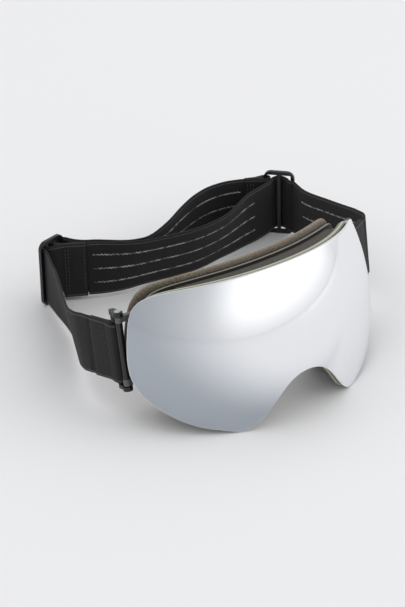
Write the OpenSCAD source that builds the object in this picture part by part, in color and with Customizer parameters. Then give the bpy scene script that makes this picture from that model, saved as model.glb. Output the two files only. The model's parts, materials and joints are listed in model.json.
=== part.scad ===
// Ski goggles with a quick-release toric lens, swinging strap outriggers and a two-slider strap.
// The mask stands on its lens lobes and chin foam, leaning back. The strap loop lies behind it.
// Right-hand side is +X, the wearer's face is towards +Y, and the ground is z = 0.

/* [Lens] */
// Horizontal radius of the outer lens face
lens_radius_h = 99.7; // [98:0.1:103]
// Vertical radius of the outer lens face
lens_radius_v = 145; // [135:1:170]
// Thickness of the outer lens
outer_lens_t = 1.4; // [1.1:0.1:1.4]
// Thickness of the inner lens
inner_lens_t = 0.8; // [0.6:0.1:0.8]
// Air gap between the two lenses, filled at the edge by the gasket
lens_gap = 2.7; // [2.7:0.1:2.8]

/* [Mask] */
// Angle at which the standing mask leans back
lean_back = 9; // [7:0.5:10]
// Height of the lens centre above the ground, measured along the lean
lens_centre_h = 45.8; // [45.8:0.1:47]
// Thickness of the face foam behind the flange
foam_t = 12; // [10:0.5:12.5]
// Thickness of the frame's walls
wall_t = 1.5; // [1.2:0.1:1.6]

/* [Pivots] */
// Radius of a hinge pin
pin_r = 1.25; // [1.1:0.05:1.3]
// Radial clearance of the pin in the outrigger's barrel
pin_clear = 0.05; // [0.03:0.01:0.09]
// How far the right outrigger is swung outwards where it lies
right_swing = 45; // [35:1:46]

/* [Strap] */
// Width of the webbing
strap_w = 38; // [36:1:38]
// Thickness of the webbing
strap_t = 1.6; // [1.2:0.1:1.6]
// Distance between the bars of a slider
slider_pitch = 9; // [9:0.1:9.5]
// Width and thickness of a slider's bars
slider_bar_w = 2.4; // [2:0.1:2.4]
// Height of a slider's top and bottom rails
slider_rail_t = 2.4; // [2.4:0.1:2.6]

/* [Hidden] */
$fn = 32;

// The model is drawn with the lens apex at x = 0, y = 0, and shifted so that its box is centred.
centring = [-19.2, -104, 0];

// Half outlines, from the top centre round the right side to the nose: [x, height from mid-lens]
lens_half = [[0, 53.5], [31, 52.5], [61, 50], [81.5, 45.5], [87.5, 25], [92, -12.5], [67, -36.5],
    [48, -41], [38.5, -46], [25.5, -33], [12, -12]];
face_half = [[0, 51.5], [30, 50.5], [52, 48.5], [69, 44.5], [73, 28], [76, -6], [64, -29],
    [50, -37.5], [37, -37.5], [27, -27], [12.5, -8]];
opening_half = [[0, 39], [26, 38.5], [44, 37], [57, 33], [60, 18], [62, -4], [53, -17],
    [46, -23], [38, -23.5], [25, -12], [12, 3]];
stations = 84;

// Depths behind the outer lens face, square to it
carrier_front = outer_lens_t + 0.1;
inner_lens_front = outer_lens_t + lens_gap;
carrier_flange = inner_lens_front + inner_lens_t + 0.1;
carrier_back = carrier_flange + 1;
rim_front = 4.3;
rim_back = 5.9;
seat_front = carrier_back + 1.2;
seat_back = seat_front + 1.2;

// Insets from the lens edge, in the plane of the outline
rim_edge = 0.6;
recess_edge = 2.1;
carrier_edge = 2.5;
carrier_wall = 0.8;
gasket_edge = 3.5;
gasket_w = 4.5;
seat_w = 6;
web_edge = 4.2;

// Face surface: where the wearer's face meets the foam, measured back from the lens apex
face_depth = 52.8;
face_radius_h = 112;
face_radius_v = 145;
nose_dip = 18;
nose_half_w = 24;

// Hinge: pin axis and strap bar of the left outrigger, [x, depth], and heights along the lean
pin_xy = [-85.5, 64];
bar_offset = [0, 5.8];
strap_mid_h = 8;
boss_top = [28.6, 32.4];
boss_low = [-12, -7.4];
arm_t = 2.6;
arm_gap = 0.2;
boss_r = 2.2;
barrel_r = 2;
arm_r = 3;
bar_r = 1.5;
loop_gap = 0.3;
loop_r = bar_r + loop_gap + strap_t;
loop_len = 20;

// Magnets: azimuth about the lens's upright axis and height from mid-lens
magnet_places = [[11, 47.5], [-11, 47.5], [29, 45.5], [-29, 45.5], [28, -38.5], [-28, -38.5]];
magnet_r = 2;

// Sliders: [x, y, heading] of each centre bar, and the strap's mid height in them
slider_l = [-43.9, 203.6, 12];
slider_r = [122.7, 184.6, -47.9];
slot_h = 40.8;
slider_h = slot_h + 2 * slider_rail_t;
slider_corner_r = 5;
strap_z = slider_rail_t + 0.4 + strap_w / 2;
end_len_left = 22;
end_len_right = 14;

// Strap routes: [x, y, height of mid-width, lean of the webbing], leaning to the right of travel
left_route = [[-89.4, 90.1, 39.7, 1.7], [-90.4, 95, 38.92, 0.5], [-90.2, 103, 36.4, -4],
    [-87.6, 112, 33.4, -8], [-83.4, 121, 30.6, -10], [-73.8, 139, 26.8, -11], [-65.2, 156, 24.2, -10],
    [-59.2, 171.5, 22.8, -6], [-55.3, 184, strap_z, -3], [-51.7, 195.5, strap_z, 0], [-50.2, 200.1, strap_z, 0],
    [-50.3, 203.5, strap_z, 0], [-49.2, 206.4, strap_z, 0], [-46.7, 208, strap_z, 0],
    [-42.9, 208.5, strap_z, 0], [-39.4, 208.6, strap_z, 0], [-35.7, 208.3, strap_z, 0],
    [-31.9, 206.6, strap_z, 0], [-30, 203, strap_z, 0], [-27.4, 199, strap_z, 0],
    [-23.6, 195.3, strap_z, 0], [-18, 191.6, strap_z, 0], [-11, 187.2, strap_z, 4], [-3.5, 183.1, strap_z, 9],
    [4, 180.8, strap_z, 13], [13, 180.2, strap_z, 14], [30, 185.4, strap_z, 10], [48, 194, strap_z, 6],
    [64, 200.2, strap_z, 2], [78, 203.2, strap_z, 0], [90, 202.8, strap_z, 0], [97.3, 200.6, strap_z, 0],
    [103.9, 197.6, strap_z, 0]];
right_route = [[107.4, 78.6, 41.5, -7.8], [110.86, 80.58, 41.19, -5], [114.4, 86.5, 39.8, -2],
    [116.4, 95, 37.6, 0], [117.9, 104, 35.2, 0], [119, 114, 32.8, 0], [119.7, 128, 30, 0],
    [120.7, 147, 26, 0], [122.4, 158, 23.8, 0], [125, 167, 22.3, 0], [126.8, 174.2, strap_z, 0],
    [125.6, 177.2, strap_z, 0], [126.3, 180.9, strap_z, 0], [126, 184.9, strap_z, 0],
    [123.6, 187.6, strap_z, 0], [119.5, 187.7, strap_z, 0], [116.1, 185.6, strap_z, 0],
    [111.7, 184.1, strap_z, 0], [106, 182.6, strap_z, 0], [99, 181.2, strap_z, 0],
    [90, 179.2, strap_z, -3], [80, 176, strap_z, -8], [68, 172.4, strap_z, -14], [55, 170, strap_z, -15],
    [42, 169.6, strap_z, -15], [30, 171.4, strap_z, -15], [18, 174.2, strap_z, -15], [6, 177, strap_z, -13],
    [-2, 179.6, strap_z, -9], [-9.5, 183.1, strap_z, -5], [-17, 187.5, strap_z, -1], [-24.7, 192.1, strap_z, 0]];
route_steps = 3;
grip_pitch = 10;
grip_w = 1.4;
grip_t = 0.3;

// ---- Curves -------------------------------------------------------------------------------

function mirrored(half) = concat(half, [for (i = [len(half) - 1:-1:1]) [-half[i][0], half[i][1]]]);

// Uniform cubic B-spline through a closed control polygon, at parameter s
function spline(c, s) = let (n = len(c), i = floor(s), t = s - i)
    ((1 - t)^3 * c[(i + n - 1) % n] + (3 * t^3 - 6 * t^2 + 4) * c[i % n]
    + (-3 * t^3 + 3 * t^2 + 3 * t + 1) * c[(i + 1) % n] + t^3 * c[(i + 2) % n]) / 6;

// A closed outline's point at station j, moved inwards by inset
function edge_point(c, j, inset) = let (s = j * len(c) / stations, a = spline(c, s),
    d = spline(c, s + 0.01) - spline(c, s + len(c) - 0.01), u = d / norm(d))
    a + inset * [u[1], -u[0]];

lens_loop = mirrored(lens_half);
face_loop = mirrored(face_half);
opening_loop = mirrored(opening_half);

// ---- Lens and face surfaces, in the mask's own frame: x, depth, height from mid-lens ------

function lens_reach(h) = lens_radius_h - lens_radius_v + sqrt(lens_radius_v^2 - h^2);

function lens_place(p, depth) = let (r = lens_reach(p[1]), k = (r - depth) / r)
    [p[0] * k, lens_radius_h - k * sqrt(r^2 - p[0]^2), p[1]];

function face_y(p) = face_depth + face_radius_h - sqrt(face_radius_h^2 - p[0]^2)
    - (face_radius_v - sqrt(face_radius_v^2 - p[1]^2))
    - nose_dip * exp(-(p[0] / nose_half_w)^2) * max(0, min(1, (20 - p[1]) / 35));

function face_place(p, depth) = [p[0], face_y(p) - depth, p[1]];

function lens_edge(inset, depth) =
    [for (j = [0:stations - 1]) lens_place(edge_point(lens_loop, j, inset), depth)];

function face_edge(inset, depth) =
    [for (j = [0:stations - 1]) face_place(edge_point(face_loop, j, inset), depth)];

function opening_edge(inset, depth) =
    [for (j = [0:stations - 1]) face_place(edge_point(opening_loop, j, inset), depth)];

// ---- Shared modules -----------------------------------------------------------------------

// Closed ring whose section passes through the given loops in turn
module ring(loops) {
    m = len(loops);
    n = len(loops[0]);
    polyhedron(points = [for (l = loops) each l], faces = [for (i = [0:m - 1], j = [0:n - 1])
        let (a = i * n + j, b = i * n + (j + 1) % n, c = ((i + 1) % m) * n + (j + 1) % n,
        d = ((i + 1) % m) * n + j) each [[a, c, b], [a, d, c]]]);
}

// Bar whose four-cornered sections are given in turn, closed at both ends
module swept(sections) {
    m = len(sections);
    polyhedron(points = [for (s = sections) each s], faces = concat(
        [for (i = [0:m - 2], j = [0:3]) let (a = 4 * i + j, b = 4 * i + (j + 1) % 4)
        each [[a, b, b + 4], [a, b + 4, a + 4]]],
        [[0, 2, 1], [0, 3, 2]],
        [[4 * m - 4, 4 * m - 3, 4 * m - 2], [4 * m - 4, 4 * m - 2, 4 * m - 1]]));
}

// Puts a shape from the mask's own frame into the standing, leaning pose
module standing() translate([0, 0, lens_centre_h]) rotate([-lean_back, 0, 0]) children();

// Toric shell between two depths behind the lens face
module lens_shell(front, back) {
    steps = 12;
    top = 58;
    heights = [for (i = [0:steps]) top * (2 * i / steps - 1)];
    translate([0, lens_radius_h, 0])
        rotate_extrude($fn = 96)
            polygon(concat([for (h = heights) [lens_reach(h) - front, h]],
                [for (i = [steps:-1:0]) [lens_reach(heights[i]) - back, heights[i]]]));
}

// Prism over an outline of [x, height] points, running from the lens apex back to mid-radius
module outline_prism(points) {
    prism_front = -5;
    prism_len = 90;
    translate([0, prism_front + prism_len, 0])
        rotate([90, 0, 0])
            linear_extrude(prism_len)
                polygon(points);
}

// A round magnet lying on a surface at the given depth behind the lens face
module magnet(place, depth, thickness) {
    tilt = asin(place[1] / lens_radius_v);
    translate([0, lens_radius_h, 0])
        rotate([0, 0, place[0]])
            translate([0, lens_radius_v - lens_radius_h, 0])
                rotate([-tilt, 0, 0])
                    translate([0, depth - lens_radius_v, 0])
                        rotate([-90, 0, 0])
                            cylinder(r = magnet_r, h = thickness);
}

// ---- Lens ---------------------------------------------------------------------------------

module outer_lens() color("gainsboro") standing() intersection() {
    lens_shell(0, outer_lens_t);
    outline_prism([for (j = [0:stations - 1]) edge_point(lens_loop, j, 0)]);
}

module lens_gasket() color("dimgray") standing()
    ring([lens_edge(gasket_edge, carrier_front), lens_edge(gasket_edge + gasket_w, carrier_front),
        lens_edge(gasket_edge + gasket_w, inner_lens_front - 0.1),
        lens_edge(gasket_edge, inner_lens_front - 0.1)]);

module inner_lens() color("slategray") standing() intersection() {
    lens_shell(inner_lens_front, inner_lens_front + inner_lens_t);
    outline_prism([for (q = lens_edge(gasket_edge + 0.2, carrier_flange)) [q[0], q[2]]]);
}

module lens_carrier() color("black") standing()
    ring([lens_edge(carrier_edge, carrier_front),
        lens_edge(carrier_edge + carrier_wall, carrier_front),
        lens_edge(carrier_edge + carrier_wall, carrier_flange),
        lens_edge(gasket_edge + gasket_w, carrier_flange),
        lens_edge(gasket_edge + gasket_w, carrier_back),
        lens_edge(carrier_edge, carrier_back)]);

module lens_magnets() color("silver") standing()
    for (place = magnet_places) magnet(place, carrier_back + 0.05, 0.4);

// ---- Frame --------------------------------------------------------------------------------

module frame_shell() color([0.24, 0.21, 0.16]) standing()
    ring([lens_edge(rim_edge, rim_front),
        lens_edge(recess_edge, rim_front),
        lens_edge(recess_edge, seat_front),
        lens_edge(recess_edge + seat_w, seat_front),
        lens_edge(recess_edge + seat_w, seat_back),
        lens_edge(web_edge + wall_t, seat_back),
        face_edge(web_edge + wall_t - 1, foam_t + wall_t),
        opening_edge(0, foam_t + wall_t),
        opening_edge(0, foam_t),
        face_edge(0, foam_t),
        face_edge(0, foam_t + wall_t),
        face_edge(web_edge - 1, foam_t + wall_t),
        lens_edge(web_edge, seat_back),
        lens_edge(recess_edge - 0.9, seat_back - 0.6),
        lens_edge(recess_edge - 0.9, rim_back + 0.4),
        lens_edge(rim_edge, rim_back)]);

module frame_magnets() color("silver") standing()
    for (place = magnet_places) magnet(place, seat_front - 0.45, 0.4);

// Strip of open-cell foam lying on the outside of the web, from one station to another
module vent_strip(first, last) {
    lift = 0.4;
    foam = 1.1;
    swept([for (k = [first:last]) let (
        j = k % stations,
        front = lens_place(edge_point(lens_loop, j, web_edge), seat_back),
        back = face_place(edge_point(face_loop, j, web_edge - 1), foam_t + wall_t),
        out = edge_point(lens_loop, j, 0) - edge_point(lens_loop, j, 1),
        near = front + 0.08 * (back - front),
        far = front + 0.92 * (back - front))
        [for (q = [[near, lift], [far, lift], [far, lift + foam], [near, lift + foam]])
            q[0] + q[1] * [out[0], 0, out[1]]]]);
}

module top_vent_foam() color([0.2, 0.18, 0.14]) standing()
    vent_strip(stations - 9, stations + 9);

module bottom_vent_foam() color([0.2, 0.18, 0.14]) standing() {
    vent_strip(24, 29);
    vent_strip(stations - 29, stations - 24);
}

module face_foam_base() color([0.15, 0.15, 0.15]) standing()
    ring([face_edge(0.8, foam_t - 0.3), opening_edge(-0.5, foam_t - 0.3),
        opening_edge(-0.5, foam_t - 1.8), face_edge(0.8, foam_t - 1.8)]);

module face_foam_core() color([0.62, 0.55, 0.42]) standing()
    ring([face_edge(0.3, foam_t - 2.1), opening_edge(0, foam_t - 2.1), opening_edge(0, 4),
        opening_edge(-2, 2), face_edge(3, 1.2), face_edge(1, 2.6), face_edge(0, 6)]);

module face_fleece() color([0.27, 0.24, 0.3]) standing()
    ring([face_edge(3.4, 0.9), opening_edge(-2.4, 1.6), opening_edge(-2.6, 0.3), face_edge(4.2, 0)]);

// ---- Pivots and outriggers ----------------------------------------------------------------

// One lug, from the web of the frame out to the boss round the pin
module lug(span) {
    web_x = -74.5;
    root_front = 61.5;
    root_back = 65;
    translate([0, 0, span[0]])
        linear_extrude(span[1] - span[0])
            difference() {
                union() {
                    translate(pin_xy) circle(r = boss_r);
                    polygon([[web_x, root_front], [web_x, root_back], pin_xy + [0, boss_r - 0.1],
                        pin_xy - [0, boss_r - 0.8]]);
                }
                translate(pin_xy) circle(r = pin_r + pin_clear);
            }
}

module pivot_mount_left() color("dimgray") standing() {
    lug(boss_top);
    lug(boss_low);
}

module pivot_mount_right() mirror([1, 0, 0]) pivot_mount_left();

module hinge_pin_left() color("gray") standing()
    translate([pin_xy[0], pin_xy[1], boss_low[0] - arm_gap - arm_t]) {
        cylinder(r = pin_r, h = boss_top[1] - boss_low[0] + 2 * (arm_gap + arm_t) + 0.1);
        translate([0, 0, boss_top[1] - boss_low[0] + 2 * (arm_gap + arm_t) + 0.1])
            cylinder(r = pin_r + 0.8, h = 0.8);
    }

module hinge_pin_right() mirror([1, 0, 0]) hinge_pin_left();

// Flat arm from the pin to the strap bar
module arm(base) {
    reach = norm(bar_offset);
    translate([pin_xy[0], pin_xy[1], base])
        rotate([0, 0, atan2(bar_offset[1], bar_offset[0])])
            linear_extrude(arm_t)
                difference() {
                    union() {
                        circle(r = arm_r);
                        translate([reach, 0]) circle(r = bar_r + 0.6);
                        translate([0, -bar_r - 0.6]) square([reach, 2 * (bar_r + 0.6)]);
                    }
                    circle(r = pin_r + pin_clear);
                }
}

module outrigger_left() color([0.1, 0.1, 0.1]) standing() {
    low = boss_low[0] - arm_gap - arm_t;
    high = boss_top[1] + arm_gap;
    arm(low);
    arm(high);
    translate([pin_xy[0] + bar_offset[0], pin_xy[1] + bar_offset[1], low])
        cylinder(r = bar_r, h = high + arm_t - low);
    translate([pin_xy[0], pin_xy[1], boss_low[1] + arm_gap])
        difference() {
            cylinder(r = barrel_r, h = boss_top[0] - boss_low[1] - 2 * arm_gap);
            translate([0, 0, -1])
                cylinder(r = pin_r + pin_clear, h = boss_top[0] - boss_low[1] + 2);
        }
    // Web that ties the barrel to the bar above the webbing
    translate([pin_xy[0], pin_xy[1], boss_top[0] - arm_gap - 0.7])
        rotate([0, 0, atan2(bar_offset[1], bar_offset[0])])
            translate([barrel_r - 0.3, -0.8, 0])
                cube([norm(bar_offset) - barrel_r, 1.6, 0.7]);
}

// Turns the left hinge's parts into the right ones, swung outwards about the pin
module right_hinge() mirror([1, 0, 0]) translate([0, 0, lens_centre_h]) rotate([-lean_back, 0, 0])
    translate(pin_xy) rotate([0, 0, right_swing]) translate(-pin_xy)
    rotate([lean_back, 0, 0]) translate([0, 0, -lens_centre_h]) children();

module outrigger_right() right_hinge() outrigger_left();

// ---- Sewn strap ends ----------------------------------------------------------------------

// Webbing folded round a bar at the origin and sewn flat along +x
module sewn_end(length, gap) {
    sew_start = 8;
    fold_r = bar_r + gap + strap_t;
    shoulder = fold_r - 0.1;
    difference() {
        union() {
            cylinder(r = fold_r, h = strap_w);
            linear_extrude(strap_w)
                polygon([[0, shoulder], [sew_start, strap_t], [length, strap_t],
                    [length, -strap_t], [sew_start, -strap_t], [0, -shoulder]]);
        }
        translate([0, 0, -1]) cylinder(r = bar_r + gap, h = strap_w + 2);
    }
}

module loop_at(direction) color([0.16, 0.15, 0.16]) standing()
    translate([pin_xy[0] + bar_offset[0], pin_xy[1] + bar_offset[1], strap_mid_h - strap_w / 2])
        rotate([0, 0, direction])
            sewn_end(loop_len, loop_gap);

module strap_loop_left() loop_at(101);

module strap_loop_right() right_hinge() loop_at(105);

module slider_end(slider, side, direction, length) color([0.16, 0.15, 0.16])
    translate([slider[0], slider[1], strap_z - strap_w / 2])
        rotate([0, 0, slider[2]])
            translate([side * slider_pitch, 0, 0])
                rotate([0, 0, direction - slider[2]])
                    sewn_end(length, loop_gap);

module strap_end_left() slider_end(slider_l, 0, -31, end_len_left);

module strap_end_right() slider_end(slider_r, -1, 154, end_len_right);

// ---- Sliders ------------------------------------------------------------------------------

// Upright rectangle with round corners, centred on x, standing on y = base
module rounded_frame(width, base, height, corner) {
    for (side = [-1, 1], level = [corner, height - corner])
        translate([side * (width / 2 - corner), base + level]) circle(r = corner);
    translate([-width / 2 + corner, base]) square([width - 2 * corner, height]);
    translate([-width / 2, base + corner]) square([width, height - 2 * corner]);
}

module slider(place) color([0.12, 0.12, 0.12]) {
    slot_w = slider_pitch - slider_bar_w;
    slot_corner_r = 0.6;
    translate([place[0], place[1], 0])
        rotate([0, 0, place[2]])
            translate([0, slider_bar_w / 2, 0])
                rotate([90, 0, 0])
                    linear_extrude(slider_bar_w)
                        difference() {
                            rounded_frame(2 * slider_pitch + slider_bar_w, 0, slider_h, slider_corner_r);
                            for (side = [-1, 1])
                                translate([side * slider_pitch / 2, 0])
                                    rounded_frame(slot_w, slider_rail_t, slot_h, slot_corner_r);
                        }
}

module slider_left() slider(slider_l);

module slider_right() slider(slider_r);

// ---- Straps -------------------------------------------------------------------------------

// Catmull-Rom curve through an open route, at parameter s
function route(r, s) = let (m = len(r) - 1, i = min(floor(s), m - 1), t = s - i, b = r[i], c = r[i + 1],
    a = i > 0 ? r[i - 1] : 2 * b - c, d = i < m - 1 ? r[i + 2] : 2 * c - b)
    b + t * (c - a) / 2 + t^2 * (a - 2.5 * b + 2 * c - d / 2) + t^3 * (1.5 * (b - c) + (d - a) / 2);

function flat3(v) = [v[0], v[1], v[2]];
function unit(v) = v / norm(v);

// Section of the webbing at s: from across[0] to across[1] along its width, thick[0] to thick[1]
function webbing(r, s, across, thick) = let (
    m = len(r) - 1, p = route(r, s),
    way = unit(flat3(route(r, min(m, s + 0.02)) - route(r, max(0, s - 0.02)))),
    up = unit([0, 0, 1] - way[2] * way), side = cross(way, up),
    wide = cos(p[3]) * up + sin(p[3]) * side, out = cross(way, wide))
    [for (k = [[0, 0], [1, 0], [1, 1], [0, 1]]) flat3(p) + across[k[0]] * wide + thick[k[1]] * out];

function webbing_run(r, first, last, across, thick) =
    [for (i = [first * route_steps:last * route_steps]) webbing(r, i / route_steps, across, thick)];

module strap(r) color([0.16, 0.15, 0.16])
    swept(webbing_run(r, 0, len(r) - 1, [-strap_w / 2, strap_w / 2], [-strap_t / 2, strap_t / 2]));

// Silicone lines on the inner face; inner is +1 or -1, the side of travel that faces the head
module grip_lines(r, first, last, inner) color([0.5, 0.5, 0.5])
    for (line = [-1:1])
        swept(webbing_run(r, first, last, [line * grip_pitch - grip_w / 2, line * grip_pitch + grip_w / 2],
            inner > 0 ? [strap_t / 2, strap_t / 2 + grip_t] : [-strap_t / 2 - grip_t, -strap_t / 2]));

module strap_left() strap(left_route);

module strap_right() strap(right_route);

module grip_lines_left() grip_lines(left_route, 1, 7, 1);

module grip_lines_right() {
    grip_lines(right_route, 1, 9, -1);
    grip_lines(right_route, 18, 30, -1);
}

// ---- Assembly -----------------------------------------------------------------------------

translate(centring) {
    outer_lens();
    lens_gasket();
    inner_lens();
    lens_carrier();
    lens_magnets();
    frame_shell();
    frame_magnets();
    top_vent_foam();
    bottom_vent_foam();
    face_foam_base();
    face_foam_core();
    face_fleece();
    pivot_mount_left();
    pivot_mount_right();
    hinge_pin_left();
    hinge_pin_right();
    outrigger_left();
    outrigger_right();
    strap_loop_left();
    strap_loop_right();
    strap_left();
    strap_right();
    grip_lines_left();
    grip_lines_right();
    slider_left();
    slider_right();
    strap_end_left();
    strap_end_right();
}
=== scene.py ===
"""Finished looks for the ski goggles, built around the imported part.

Lengths inside the curve functions are millimetres in the mask's own frame, as in the part's
source: x to the right, depth behind the lens apex, height from mid-lens. Meshes are in metres.
"""

import json
import math
import random

import bmesh
import bpy
import numpy as np
from mathutils import Matrix, Vector

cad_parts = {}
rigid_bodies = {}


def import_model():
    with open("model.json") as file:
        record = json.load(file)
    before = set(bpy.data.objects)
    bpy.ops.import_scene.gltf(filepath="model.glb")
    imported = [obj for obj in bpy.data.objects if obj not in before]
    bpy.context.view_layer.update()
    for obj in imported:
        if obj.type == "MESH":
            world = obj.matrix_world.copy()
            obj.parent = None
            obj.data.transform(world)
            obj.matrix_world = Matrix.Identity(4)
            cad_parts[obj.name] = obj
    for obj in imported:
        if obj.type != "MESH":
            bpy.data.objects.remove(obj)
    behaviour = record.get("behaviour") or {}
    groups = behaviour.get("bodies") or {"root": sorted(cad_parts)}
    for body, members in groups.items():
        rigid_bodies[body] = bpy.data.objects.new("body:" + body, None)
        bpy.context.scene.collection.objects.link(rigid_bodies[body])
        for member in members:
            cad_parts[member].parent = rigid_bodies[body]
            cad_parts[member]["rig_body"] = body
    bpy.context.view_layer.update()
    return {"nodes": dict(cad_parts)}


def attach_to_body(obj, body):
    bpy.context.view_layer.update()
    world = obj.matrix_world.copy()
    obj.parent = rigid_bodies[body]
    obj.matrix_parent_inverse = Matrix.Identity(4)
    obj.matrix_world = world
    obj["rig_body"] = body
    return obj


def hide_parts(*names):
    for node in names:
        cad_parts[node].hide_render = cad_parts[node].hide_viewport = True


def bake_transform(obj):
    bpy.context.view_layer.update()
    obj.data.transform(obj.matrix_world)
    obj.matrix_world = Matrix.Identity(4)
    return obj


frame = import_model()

MM = 0.001
SEED = 11

# ---- Driving dimensions, in millimetres and degrees ---------------------------------------

CENTRING = (-19.2, -104.0, 0.0)
LENS_R_H = 99.7
LENS_R_V = 145.0
LENS_T = 1.4
INNER_T = 0.8
LENS_GAP = 2.7
LEAN = 9.0
LENS_CENTRE_H = 45.8
FOAM_T = 12.0
WALL_T = 1.5

LENS_HALF = [(0, 53.5), (31, 52.5), (61, 50), (81.5, 45.5), (87.5, 25), (92, -12.5), (67, -36.5),
             (48, -41), (38.5, -46), (25.5, -33), (12, -12)]
FACE_HALF = [(0, 51.5), (30, 50.5), (52, 48.5), (69, 44.5), (73, 28), (76, -6), (64, -29),
             (50, -37.5), (37, -37.5), (27, -27), (12.5, -8)]
OPENING_HALF = [(0, 39), (26, 38.5), (44, 37), (57, 33), (60, 18), (62, -4), (53, -17),
                (46, -23), (38, -23.5), (25, -12), (12, 3)]
PART_STATIONS = 84
STATIONS = 4 * PART_STATIONS

CARRIER_FRONT = LENS_T + 0.1
INNER_FRONT = LENS_T + LENS_GAP
CARRIER_FLANGE = INNER_FRONT + INNER_T + 0.1
CARRIER_BACK = CARRIER_FLANGE + 1
RIM_FRONT = 4.3
RIM_BACK = 5.9
SEAT_FRONT = CARRIER_BACK + 1.2
SEAT_BACK = SEAT_FRONT + 1.2
RIM_EDGE = 0.6
RECESS_EDGE = 2.1
CARRIER_EDGE = 2.5
CARRIER_WALL = 0.8
GASKET_EDGE = 3.5
GASKET_W = 4.5
SEAT_W = 6.0
WEB_EDGE = 4.2

FACE_DEPTH = 52.8
FACE_R_H = 112.0
FACE_R_V = 145.0
NOSE_DIP = 18.0
NOSE_HALF_W = 24.0

PIN = (-85.5, 64.0)
BAR_OFFSET = (0.0, 5.8)
STRAP_MID_H = 8.0
RIGHT_SWING = 45.0
BAR_R = 1.5
LOOP_GAP = 0.3
LOOP_LEN = 20.0
LOOP_TURN_LEFT = 101.0
LOOP_TURN_RIGHT = 105.0

STRAP_W = 38.0
STRAP_T = 1.6
SLIDER_RAIL_T = 2.4
SLIDER_PITCH = 9.0
STRAP_Z = SLIDER_RAIL_T + 0.4 + STRAP_W / 2
SLIDER_L = (-43.9, 203.6, 12.0)
SLIDER_R = (122.7, 184.6, -47.9)
END_TURN_LEFT = -31.0
END_TURN_RIGHT = 154.0
END_LEN_LEFT = 22.0
END_LEN_RIGHT = 14.0

LEFT_ROUTE = [
    (-89.4, 90.1, 39.7, 1.7), (-90.4, 95, 38.92, 0.5), (-90.2, 103, 36.4, -4),
    (-87.6, 112, 33.4, -8), (-83.4, 121, 30.6, -10), (-73.8, 139, 26.8, -11),
    (-65.2, 156, 24.2, -10), (-59.2, 171.5, 22.8, -6), (-55.3, 184, STRAP_Z, -3),
    (-51.7, 195.5, STRAP_Z, 0), (-50.2, 200.1, STRAP_Z, 0), (-50.3, 203.5, STRAP_Z, 0),
    (-49.2, 206.4, STRAP_Z, 0), (-46.7, 208, STRAP_Z, 0), (-42.9, 208.5, STRAP_Z, 0),
    (-39.4, 208.6, STRAP_Z, 0), (-35.7, 208.3, STRAP_Z, 0), (-31.9, 206.6, STRAP_Z, 0),
    (-30, 203, STRAP_Z, 0), (-27.4, 199, STRAP_Z, 0), (-23.6, 195.3, STRAP_Z, 0),
    (-18, 191.6, STRAP_Z, 0), (-11, 187.2, STRAP_Z, 4), (-3.5, 183.1, STRAP_Z, 9),
    (4, 180.8, STRAP_Z, 13), (13, 180.2, STRAP_Z, 14), (30, 185.4, STRAP_Z, 10),
    (48, 194, STRAP_Z, 6), (64, 200.2, STRAP_Z, 2), (78, 203.2, STRAP_Z, 0),
    (90, 202.8, STRAP_Z, 0), (97.3, 200.6, STRAP_Z, 0), (103.9, 197.6, STRAP_Z, 0)]
RIGHT_ROUTE = [
    (107.4, 78.6, 41.5, -7.8), (110.86, 80.58, 41.19, -5), (114.4, 86.5, 39.8, -2),
    (116.4, 95, 37.6, 0), (117.9, 104, 35.2, 0), (119, 114, 32.8, 0), (119.7, 128, 30, 0),
    (120.7, 147, 26, 0), (122.4, 158, 23.8, 0), (125, 167, 22.3, 0), (126.8, 174.2, STRAP_Z, 0),
    (125.6, 177.2, STRAP_Z, 0), (126.3, 180.9, STRAP_Z, 0), (126, 184.9, STRAP_Z, 0),
    (123.6, 187.6, STRAP_Z, 0), (119.5, 187.7, STRAP_Z, 0), (116.1, 185.6, STRAP_Z, 0),
    (111.7, 184.1, STRAP_Z, 0), (106, 182.6, STRAP_Z, 0), (99, 181.2, STRAP_Z, 0),
    (90, 179.2, STRAP_Z, -3), (80, 176, STRAP_Z, -8), (68, 172.4, STRAP_Z, -14),
    (55, 170, STRAP_Z, -15), (42, 169.6, STRAP_Z, -15), (30, 171.4, STRAP_Z, -15),
    (18, 174.2, STRAP_Z, -15), (6, 177, STRAP_Z, -13), (-2, 179.6, STRAP_Z, -9),
    (-9.5, 183.1, STRAP_Z, -5), (-17, 187.5, STRAP_Z, -1), (-24.7, 192.1, STRAP_Z, 0)]


# ---- Materials ----------------------------------------------------------------------------

def principled(name, color, roughness, metallic=0.0, alpha=1.0, sheen=0.0):
    """A Principled material and its shader node."""
    material = bpy.data.materials.new(name)
    material.use_nodes = True
    shader = material.node_tree.nodes["Principled BSDF"]
    shader.inputs["Base Color"].default_value = (*color, 1.0)
    shader.inputs["Roughness"].default_value = roughness
    shader.inputs["Metallic"].default_value = metallic
    shader.inputs["Alpha"].default_value = alpha
    shader.inputs["Sheen Weight"].default_value = sheen
    return material, shader


def add_node(material, kind, **settings):
    """A node of that kind, with the given properties or input values set."""
    node = material.node_tree.nodes.new(kind)
    for key, value in settings.items():
        if key in node.inputs:
            node.inputs[key].default_value = value
        else:
            setattr(node, key, value)
    return node


def link(material, source, output, target, into):
    """Joins a node's output to another node's input."""
    material.node_tree.links.new(source.outputs[output], target.inputs[into])


def add_bump(material, shader, height_node, output, distance, strength=1.0):
    """Relief on the shader, distance metres high where the height is 1."""
    bump = add_node(material, "ShaderNodeBump", Strength=strength, Distance=distance)
    link(material, height_node, output, bump, "Height")
    link(material, bump, "Normal", shader, "Normal")


def ease_between(material, value, output, low, high):
    """Rises smoothly from 0 to 1 as the value goes from low to high."""
    ease = add_node(material, "ShaderNodeMapRange", interpolation_type="SMOOTHSTEP")
    ease.inputs["From Min"].default_value = low
    ease.inputs["From Max"].default_value = high
    link(material, value, output, ease, "Value")
    return ease


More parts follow.
